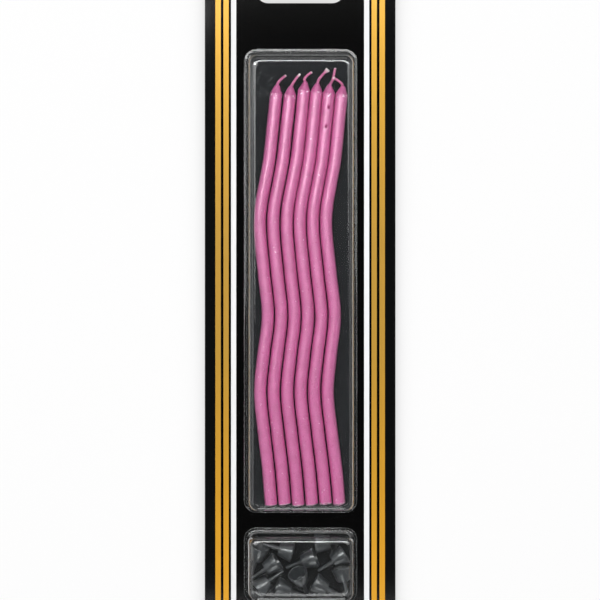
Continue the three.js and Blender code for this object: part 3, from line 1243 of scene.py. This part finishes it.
def lengths_along(points: list[Vector]) -> list[float]:
    """Returns how far along a line of points each of them lies.

    Args:
        points: The points.

    Returns:
        A length for each point, from 0.
    """
    total = [0.0]
    for before, after in zip(points, points[1:]):
        total.append(total[-1] + (after - before).length)
    return total


def point_at(points: list[Vector], along: list[float], length: float) -> Vector:
    """Finds the point at a length along a line of points.

    Args:
        points: The points.
        along: How far along each lies.
        length: The length looked for.

    Returns:
        The point.
    """
    if length <= 0:
        return points[0] + (points[0] - points[1]).normalized() * -length
    for i in range(1, len(points)):
        if along[i] >= length:
            share = (length - along[i - 1]) / (along[i] - along[i - 1])
            return points[i - 1].lerp(points[i], share)
    return points[-1]


class FootCut(Enum):
    """How a candle's foot ends: break depth and slant."""

    ROUND = (0.0, 0.0)
    SLANTED = (0.1 * MM, 0.1)
    STEEP = (0.3 * MM, 0.14)
    BROKEN = (1.0 * MM, 0.04)
    CHIPPED = (0.9 * MM, 0.1)


@dataclass
class Candle:
    """One candle: wax cast round a plied wick. Lengths are in millimetres until its path is made.

    Its foot and tip are given by how far up the card they lie from where the row has them, and the
    wick's bare end by three points from the tip.
    """

    number: int
    foot: float
    tip: float
    wick: tuple[tuple[float, float, float], ...]
    cut: FootCut
    foot_bulge: float = 0.5
    plies: int = 3
    splay: float = 0.0
    bare_reach: float = 0.25
    drift: float = 0.0
    pits: tuple[tuple[float, float], ...] = ()

    @property
    def body(self) -> str:
        """The body that the candle rides on."""
        return f"candle_{self.number}"


@dataclass
class CandleRow:
    """The six candles, bent to one wave and lying side by side."""

    candles: tuple[Candle, ...]
    feet: float = -75.9
    length: float = 150.8
    diameter: float = 4.44
    shoulder: float = 2.9
    tip_diameter: float = 1.8
    pitch_at_tips: float = 4.68
    pitch_at_feet: float = 4.9
    resting_gap: float = 0.3
    foot_share: float = 0.97
    # Past the round foot: the length, and the share of the radius.
    foot_rows: tuple[tuple[float, float], ...] = ((0.12, 0.985), (0.3, 1.0))
    even_until: float = 0.45
    # The rim: the length past the shoulder, and how far the wax stands out.
    rim: tuple[tuple[float, float], ...] = ((-0.2, 0.06), (-0.05, 0.06), (0.06, -0.04))
    taper_steps: tuple[float, ...] = (0.2, 0.4, 0.6, 0.8, 0.95)
    # Past the tip: the length, and the share of the tip's and then of the wick's radius.
    tip_row: tuple[float, float] = (0.1, 0.86)
    wick_rows: tuple[tuple[float, float], ...] = ((0.3, 1.25), (0.55, 1.12), (0.8, 0.9))
    foot_highlight_reach: float = 3.0
    # How far an end faces down the card before the painted highlight starts on it, and where it is
    # whole.
    foot_highlight_facing: tuple[float, float] = (0.15, 0.4)
    pit_size: float = 0.55
    pit_depth: float = 0.3
    pit_narrowing: float = 1.5
    # How strongly a pit is marked for its painted shade.
    pit_shade: float = 2.6
    wick_diameter: float = 0.94
    # How much thicker the plies are than if they only touched.
    ply_bite: float = 1.12
    # Wax thickens the wick past the tip: where most, how far off, and by what share.
    wick_wax: tuple[float, float, float] = (0.8, 1.1, 0.18)
    wick_lump_size: float = 0.9
    wick_lump: float = 0.1
    station_gap: float = 0.5
    course_steps: int = 24
    drift_share: float = 0.45
    foot_across: float = 1.85
    shoulder_across: float = 3.15
    tip_across: float = 3.5
    # The row's middle line: share of the candles' length, distance across the card.
    wave: tuple[tuple[float, float], ...] = (
        (0.082, 0.8),
        (0.175, -0.85),
        (0.27, -2.25),
        (0.36, -1.05),
        (0.45, 0.4),
        (0.558, -1.15),
        (0.664, -2.6),
        (0.71, -2.25),
        (0.769, -0.7),
        (0.822, 0.7),
        (0.915, 2.15),
    )

    def course(self, candle: Candle) -> tuple[list[Vector], int]:
        """Lists the points that a candle's middle line goes through.

        Args:
            candle: The candle.

        Returns:
            The points in metres, and the place of the wax's tip among them.
        """
        top = self.length + candle.tip
        line = [(candle.foot, self.foot_across)]
        line += [(share * self.length, across) for share, across in self.wave]
        line += [(top - self.shoulder, self.shoulder_across), (top, self.tip_across)]
        place = candle.number - 1 - (len(self.candles) - 1) / 2
        out = CARD_FRONT / MM + self.resting_gap + self.diameter / 2
        points = []
        for up, across in line:
            share = up / self.length
            pitch = self.pitch_at_feet + (self.pitch_at_tips - self.pitch_at_feet) * share
            drift = candle.drift * max(0.0, 1 - (1 - share) / self.drift_share)
            points.append(Vector((across + place * pitch + drift, self.feet + up, out)) * MM)
        tip = points[-1].copy()
        points += [tip + Vector(step) * MM for step in candle.wick]
        return points, len(line) - 1

    def wax_stations(self, length: float, bulge: float) -> list[tuple[float, float]]:
        """Lists where a candle's section is drawn, and its radius there.

        Args:
            length: The wax's length in metres.
            bulge: How far the foot's middle stands out, in metres.

        Returns:
            Length along the path and radius, in metres.
        """
        radius, tip_radius = self.diameter / 2 * MM, self.tip_diameter / 2 * MM
        wick = self.wick_diameter / 2 * MM
        shoulder = length - self.shoulder * MM
        quarter = arc((0, 0), 1, 90, 8, 6)
        rows = [(bulge * (1 - y), radius * self.foot_share * x) for x, y in quarter]
        rows += [(bulge + up * MM, radius * share) for up, share in self.foot_rows]
        first, last = rows[-1][0], shoulder - self.even_until * MM
        count = int((shoulder - first) / (self.station_gap * MM)) - 1
        rows += [(first + (last - first) * i / count, radius) for i in range(1, count + 1)]
        rows += [(shoulder + up * MM, radius + out * MM) for up, out in self.rim]
        for share in self.taper_steps:
            taper = radius + (tip_radius - radius) * share
            rows.append((shoulder + (length - shoulder) * share, taper))
        up, share = self.tip_row
        rows.append((length + up * MM, tip_radius * share))
        return rows + [(length + up * MM, wick * share) for up, share in self.wick_rows]

    def press_pits(self, piece: Piece, candle: Candle) -> None:
        """Presses a candle's pits into its wax and marks them for the shade painted in them.

        Args:
            piece: The wax body.
            candle: The candle.
        """
        mesh = piece.data
        mark = mesh.attributes.new("pit_painted_shade", "FLOAT", "POINT")
        size, depth = self.pit_size * MM, self.pit_depth * MM
        normals = [vertex.normal.copy() for vertex in mesh.vertices]
        for vertex, normal in zip(mesh.vertices, normals):
            for x, y in candle.pits:
                aside = (vertex.co.x - x * MM) * self.pit_narrowing
                away = Vector((aside, vertex.co.y - y * MM))
                share = math.exp(-((away.length / size) ** 2))
                if normal.z > 0 and share > 0.01:
                    mark.data[vertex.index].value = min(1.0, self.pit_shade * share)
                    vertex.co -= normal * depth * share

    def mark_foot_highlight(self, piece: Piece) -> None:
        """Marks the end of a candle's foot where it faces down the card, for the highlight painted
        there.

        Args:
            piece: The wax body.
        """
        mark = piece.data.attributes.new("foot_highlight", "FLOAT", "POINT")
        reach = min(vertex.co.y for vertex in piece.data.vertices) + self.foot_highlight_reach * MM
        start, span = self.foot_highlight_facing
        for vertex in piece.data.vertices:
            facing = (-vertex.normal.y - start) / span
            if vertex.co.y < reach:
                mark.data[vertex.index].value = min(max(facing, 0.0), 1.0)

    def path(self, candle: Candle) -> tuple[list[Vector], list[float], float]:
        """Draws a candle's middle line, wick and all.

        Args:
            candle: The candle.

        Returns:
            The line's points, how far along it each lies, and the wax's length, in metres.
        """
        course, tip = self.course(candle)
        line = catmull_rom(course, self.course_steps)
        along = lengths_along(line)
        return line, along, along[tip * self.course_steps]

    def build_wax(self, candle: Candle, tree: GeometrySheet, material: bpy.types.Material) -> None:
        """Builds a candle's wax body.

        Args:
            candle: The candle.
            tree: The tree that sweeps the wax.
            material: The wax's material.
        """
        path, along, wax_length = self.path(candle)
        stations = self.wax_stations(wax_length, candle.foot_bulge * MM)
        points = [point_at(path, along, s) for s, _ in stations]
        name = f"candle_{candle.number}_dipped_wax"
        line = path_object(name + "_path", points, [r for _, r in stations])
        depth, slant = candle.cut.value
        values = {
            "Sides": 40,
            "Unevenness": 0.09 * MM,
            "Wave length": 7 * MM,
            "Break depth": depth,
            "Break size": 0.9 * MM,
            "Break reach": 1.2 * MM,
            "Slant": slant,
            "Foot across": path[0].x,
            "Shoulder at": wax_length - self.shoulder * MM,
            "Scuff reach": 4 * MM,
            "Seed": float(candle.number),
            "Finish": material,
        }
        tree.run_on(line, values)
        wax = baked(line, name)
        self.mark_foot_highlight(wax)
        self.press_pits(wax, candle)
        place_piece(wax, f"candle_{candle.number}_wax", candle.body)

    def build_wick(self, candle: Candle, tree: GeometrySheet, material: bpy.types.Material) -> None:
        """Builds a candle's wick, from its foot to its cut end.

        Args:
            candle: The candle.
            tree: The tree that lays the plies.
            material: The wick's material.
        """
        path, along, wax_length = self.path(candle)
        most_at, reach, thickening = self.wick_wax
        radii = []
        for length in along:
            waxed = math.exp(-(((length - wax_length - most_at * MM) / (reach * MM)) ** 2))
            spot = Vector((length / (self.wick_lump_size * MM), candle.number, 0))
            lump = noise.noise(spot)
            radii.append(1.0 + thickening * waxed + self.wick_lump * lump)
        name = f"candle_{candle.number}_plied_wick"
        line = path_object(name + "_path", path, radii)
        ply = self.wick_diameter / 4 * MM * (3 / candle.plies) ** 0.5 * self.ply_bite
        values = {
            "Plies": candle.plies,
            "Ply radius": ply,
            "Ply offset": self.wick_diameter / 2 * MM - ply,
            "Lay": 3.2 * MM,
            "Splay": candle.splay * MM,
            "Splay reach": 1.6 * MM,
            "Bare reach": candle.bare_reach * MM,
            "Step": 0.3 * MM,
            "Finish": material,
        }
        tree.run_on(line, values)
        wick = baked(line, name)
        place_piece(wick, f"candle_{candle.number}_wick", candle.body)

    def build(self, wax: PearlWax, cotton: WaxedCotton) -> None:
        """Builds every candle's wax and wick.

        Args:
            wax: The wax's finish.
            cotton: The wicks' finish.
        """
        wax_sweep, ply_sweep = wax_tree(), strand_tree()
        wax_material, cotton_material = wax.material(), cotton.material()
        for candle in self.candles:
            self.build_wax(candle, wax_sweep, wax_material)
            self.build_wick(candle, ply_sweep, cotton_material)


@dataclass
class HolderPile:
    """The loose holders, each a tapered cup on a spike, lying in their bubble."""

    middle: float = -97.45
    mouth_radius: float = 3.6
    base_radius: float = 2.45
    cup_height: float = 5.2
    wall: float = 0.55
    floor: float = 0.8
    spike_root: float = 0.85
    spike_tip: float = 0.55
    tip_rounding: float = 0.25
    root_ease: float = 0.12
    root_flare: float = 0.35
    base_rounding: float = 0.2
    floor_rounding: float = 0.3
    rim_rounding: float = 0.24
    length: float = 11.5
    resting_gap: float = 0.3
    sides: int = 56
    # Each holder's mouth from the pile's middle in holder lengths, the way its spike points, and
    # how far the spike dips, in degrees.
    places: tuple[tuple[float, float, float, float], ...] = (
        (-1.247, 0.609, -107, 15),
        (-0.226, 0.413, 164, 4),
        (-0.694, 0.16, -146, 4),
        (-1.333, -0.736, 36, 4),
        (-0.735, -0.622, -20, 6),
        (-0.087, -0.165, -66, 37),
        (0.432, -0.499, -26, 0),
        (1.264, -0.022, -77, 6),
        (1.403, 0.383, -148, 0),
        (0.472, 0.706, 3, 4),
        (0.492, 0.284, -160, 5),
    )

    def section(self) -> Ring:
        """Draws half a holder's section, from its spike's tip to its cup's floor.

        Returns:
            Radius and height of each point in millimetres.
        """
        taper = (self.mouth_radius - self.base_radius) / self.cup_height
        floor_up, root = self.floor - self.cup_height, -self.cup_height
        floor_radius = self.base_radius + taper * self.floor - self.wall
        tip, ease, flare = self.tip_rounding, self.root_ease, self.root_flare
        rim, base, inner = self.rim_rounding, self.base_rounding, self.floor_rounding
        points = [(0.0, -self.length)]
        points += arc((self.spike_tip - tip, tip - self.length), tip, -90, -10, 3)
        points += [(self.spike_root, root - flare), (self.spike_root + ease, root - ease)]
        points += [(self.spike_root + flare, root)]
        points += arc((self.base_radius - base, root + base), base, -90, -12, 3)
        points += arc((self.mouth_radius - rim, -rim), rim, 0, 90, 3)
        points += arc((self.mouth_radius - self.wall + rim, -rim), rim, 90, 180, 3)
        points += arc((floor_radius - inner, floor_up + inner), inner, -10, -90, 3)
        return [*points, (0.0, floor_up)]

    def rings(self) -> list[list[Vector]]:
        """Lists the rings of an upright holder, from its spike's tip.

        Returns:
            The points of each ring in millimetres.
        """
        angles = [2 * math.pi * side / self.sides for side in range(self.sides)]
        return [
            [Vector((radius * math.cos(a), radius * math.sin(a), height)) for a in angles]
            for radius, height in self.section()
        ]

    def mouth_rise(self, dip: float) -> float:
        """Returns how far a holder's mouth stands above its lowest point.

        Args:
            dip: How far its spike dips below level, in radians.

        Returns:
            The height in millimetres.
        """
        rings = (
            (0.0, self.mouth_radius),
            (self.cup_height, self.base_radius),
            (self.length, self.spike_tip),
        )
        return max(a * math.sin(dip) + r * math.cos(dip) for a, r in rings)

    def build(self, finish: MouldedPlastic) -> None:
        """Builds every holder.

        Args:
            finish: The plastic's finish.
        """
        material = finish.material()
        upright = self.rings()
        for number, (x, y, heading, dip) in enumerate(self.places, start=1):
            turn, fall = math.radians(heading), math.radians(dip)
            level = math.cos(fall)
            spike = Vector((math.cos(turn) * level, math.sin(turn) * level, -math.sin(fall)))
            rotation = Vector((0, 0, -1)).rotation_difference(spike)
            up = CARD_FRONT / MM + self.resting_gap + self.mouth_rise(fall)
            mouth = Vector((x * self.length, self.middle + y * self.length, up))
            rings = [[(mouth + rotation @ point) * MM for point in ring] for ring in upright]
            name = f"holder_{number}_moulding"
            piece = link_object(name, mesh_of_rings(name, rings))
            place_piece(piece, f"holder_{number}", Body.CARD.value, material)


@dataclass
class SoftBox:
    """A studio lamp behind a diffuser, aimed at the pack."""

    name: str
    azimuth: float
    from_zenith: float
    distance: float
    width: float
    height: float
    power: float

    def build(self, target: Vector) -> None:
        """Puts the lamp in place.

        Args:
            target: What the lamp is aimed at.
        """
        azimuth, tilt = math.radians(self.azimuth), math.radians(self.from_zenith)
        way = Vector(
            (math.sin(azimuth) * math.sin(tilt), math.cos(azimuth) * math.sin(tilt), math.cos(tilt))
        )
        lamp = bpy.data.lights.new(self.name, "AREA")
        lamp.shape = "RECTANGLE"
        lamp.size, lamp.size_y = self.width, self.height
        lamp.energy = self.power
        holder = link_object(self.name, lamp)
        holder.location = target + way * self.distance
        holder.rotation_mode = "QUATERNION"
        holder.rotation_quaternion = way.to_track_quat("Z", "Y")
        holder.visible_camera = False


@dataclass
class Studio:
    """The floor, lamps, surroundings and camera."""

    picture_side: float = 600
    metres_per_pixel: float = 0.36 * MM
    camera_height: float = 740 * MM
    card_middle_pixel: tuple[float, float] = (300.15, 294.0)
    sensor: float = 36.0
    floor_reach: float = 6.0
    floor_gap: float = 0.05 * MM
    # The surroundings' light near the horizon and overhead, and how much more of it is soft.
    ceiling: float = 0.024
    wall_glow: float = 0.2
    ceiling_edge: tuple[float, float] = (0.6, 0.97)
    fill_level: float = 1.1
    lamps: tuple[SoftBox, ...] = (
        SoftBox("top_softbox", -4, 20.5, 1.3, 1.4, 0.28, 9.5),
        SoftBox("top_left_softbox", -58, 27, 1.3, 0.4, 0.8, 2.8),
        SoftBox("top_right_softbox", 58, 25, 1.3, 0.35, 0.6, 1.4),
        SoftBox("foot_line_lamp", 180, 15.6, 1.3, 0.5, 0.1, 0.3),
        SoftBox("foot_softbox", 180, 54, 1.3, 0.5, 0.7, 2.7),
        SoftBox("left_softbox", -95, 52, 1.3, 1.0, 0.9, 1.7),
        SoftBox("right_softbox", 95, 52, 1.3, 1.0, 0.9, 1.3),
        SoftBox("head_softbox", 0, 55, 1.3, 1.0, 0.5, 1.3),
    )

    def build_floor(self, finish: StudioSweep) -> None:
        """Builds the floor.

        Args:
            finish: The floor's finish.
        """
        side, down = self.floor_reach, -self.floor_gap
        turns = ((-1, -1), (1, -1), (1, 1), (-1, 1))
        corners = [Vector((x * side, y * side, down)) for x, y in turns]
        floor = link_object("floor", mesh_from("floor", corners, [(0, 1, 2, 3)]))
        floor.data.materials.append(finish.material())

    def build_surroundings(self) -> None:
        """Builds surroundings that look white and light the pack less towards the ceiling."""
        world = bpy.data.worlds.new("white_studio")
        world.use_nodes = True
        tree = NodeSheet(world.node_tree)
        way = tree.add("ShaderNodeTexCoord").outputs["Generated"]
        up = tree.axes(way)["Z"]
        glow = tree.ramp(up, *self.ceiling_edge, self.wall_glow, self.ceiling)
        path = tree.add("ShaderNodeLightPath").outputs
        level = tree.ramp(path["Is Glossy Ray"], 0, 1, self.fill_level, 1.0)
        strength = tree.math("MULTIPLY", glow, level)
        # Only the camera's own view, also through film, sees the surroundings as pure white.
        turns = tree.math("ADD", path["Diffuse Depth"], path["Glossy Depth"])
        straight = tree.math("LESS_THAN", turns, 0.5)
        through = tree.math("MULTIPLY", path["Is Transmission Ray"], straight)
        seen = tree.math("MAXIMUM", path["Is Camera Ray"], through)
        strength = tree.math("MAXIMUM", strength, seen)
        values = {"Color": linear("#ffffff"), "Strength": strength}
        light = tree.add("ShaderNodeBackground", values).outputs[0]
        tree.add("ShaderNodeOutputWorld", {"Surface": light})
        bpy.context.scene.world = world

    def build_camera(self) -> None:
        """Puts the camera straight above the pack, where the photograph's frame asks for it."""
        view_side = self.picture_side * self.metres_per_pixel
        x = (self.picture_side / 2 - self.card_middle_pixel[0]) * self.metres_per_pixel
        y = (self.card_middle_pixel[1] - self.picture_side / 2) * self.metres_per_pixel
        data = bpy.data.cameras.new("camera")
        data.sensor_width = self.sensor
        data.lens = self.sensor * (self.camera_height - CARD_FRONT) / view_side
        data.clip_start, data.clip_end = 0.05, 20
        camera = link_object("camera", data)
        camera.location = (x, y, self.camera_height)
        bpy.context.scene.camera = camera

    def build(self, finish: StudioSweep) -> None:
        """Builds the whole studio.

        Args:
            finish: The floor's finish.
        """
        self.build_camera()
        self.build_floor(finish)
        self.build_surroundings()
        for lamp in self.lamps:
            lamp.build(Vector((0, 0, 0)))
        bpy.context.scene.view_settings.view_transform = "Standard"
        LOG.info("studio ready with %d lamps", len(self.lamps))


def row_of_candles() -> CandleRow:
    """Describes the six candles as they lie in the bubble.

    Returns:
        The row of candles.
    """
    return CandleRow(
        (
            Candle(1, -0.1, -0.2, ((0.3, 1.1, 0.1), (1.6, 2.5, 0.5), (3.1, 3.6, 0.7)), FootCut.ROUND),
            Candle(
                2, 0.2, -0.7, ((0.6, 1.3, 0.1), (1.8, 3.1, 0.2), (3.2, 4.6, 0.6)), FootCut.SLANTED,
                bare_reach=1.6, drift=0.3,
            ),
            Candle(
                3, -0.3, 0.9, ((-0.2, 1.4, 0.2), (1, 2.7, 0.5), (2.4, 3.7, 0.6)), FootCut.ROUND,
                foot_bulge=0.75, drift=0.6,
            ),
            Candle(
                4, 0, 0.4, ((0.5, 1.6, 0.1), (1.9, 3.4, 0.3), (3.7, 5.1, 0.8)), FootCut.STEEP,
                plies=6, splay=0.45, bare_reach=2.0, drift=0.38,
            ),
            Candle(
                5, 0.3, -0.1, ((0.9, 1.8, -0.3), (1.4, 3.6, -0.4), (1.9, 6.2, -0.2)), FootCut.BROKEN,
                foot_bulge=0.3, drift=0.15, pits=((10.2, 66.7), (9.3, 59.9)),
            ),
            Candle(
                6, 0.1, -0.6, ((-0.3, 1, 0.9), (-1.8, 2.2, 1.6), (-3.3, 3.1, 1.9)), FootCut.CHIPPED,
                bare_reach=0.7,
            ),
        )
    )


def main() -> None:
    """Builds the pack and its studio."""
    logging.basicConfig(level=logging.INFO, format="%(name)s: %(message)s")
    noise.seed_set(NOISE_SEED)
    Studio().build(StudioSweep())
    HangCard().build(PrintedBoard())
    film = FormedFilm()
    FormedBubble("candle_bubble", Body.CANDLE_BUBBLE, 4.74 * MM, 166.88 * MM).build(film)
    FormedBubble(
        "holder_bubble",
        Body.HOLDER_BUBBLE,
        -97.58 * MM,
        27.04 * MM,
        lean=1.0 * MM,
        wall_curve=3.0,
        face_shift=(0.4 * MM, -0.44 * MM),
        face_spread=(0.2 * MM, -0.08 * MM),
        shift_curve=3.0,
        fillet_rise=0.54,
    ).build(film)
    row_of_candles().build(PearlWax(), WaxedCotton())
    HolderPile().build(MouldedPlastic())


if __name__ == "__main__":
    main()
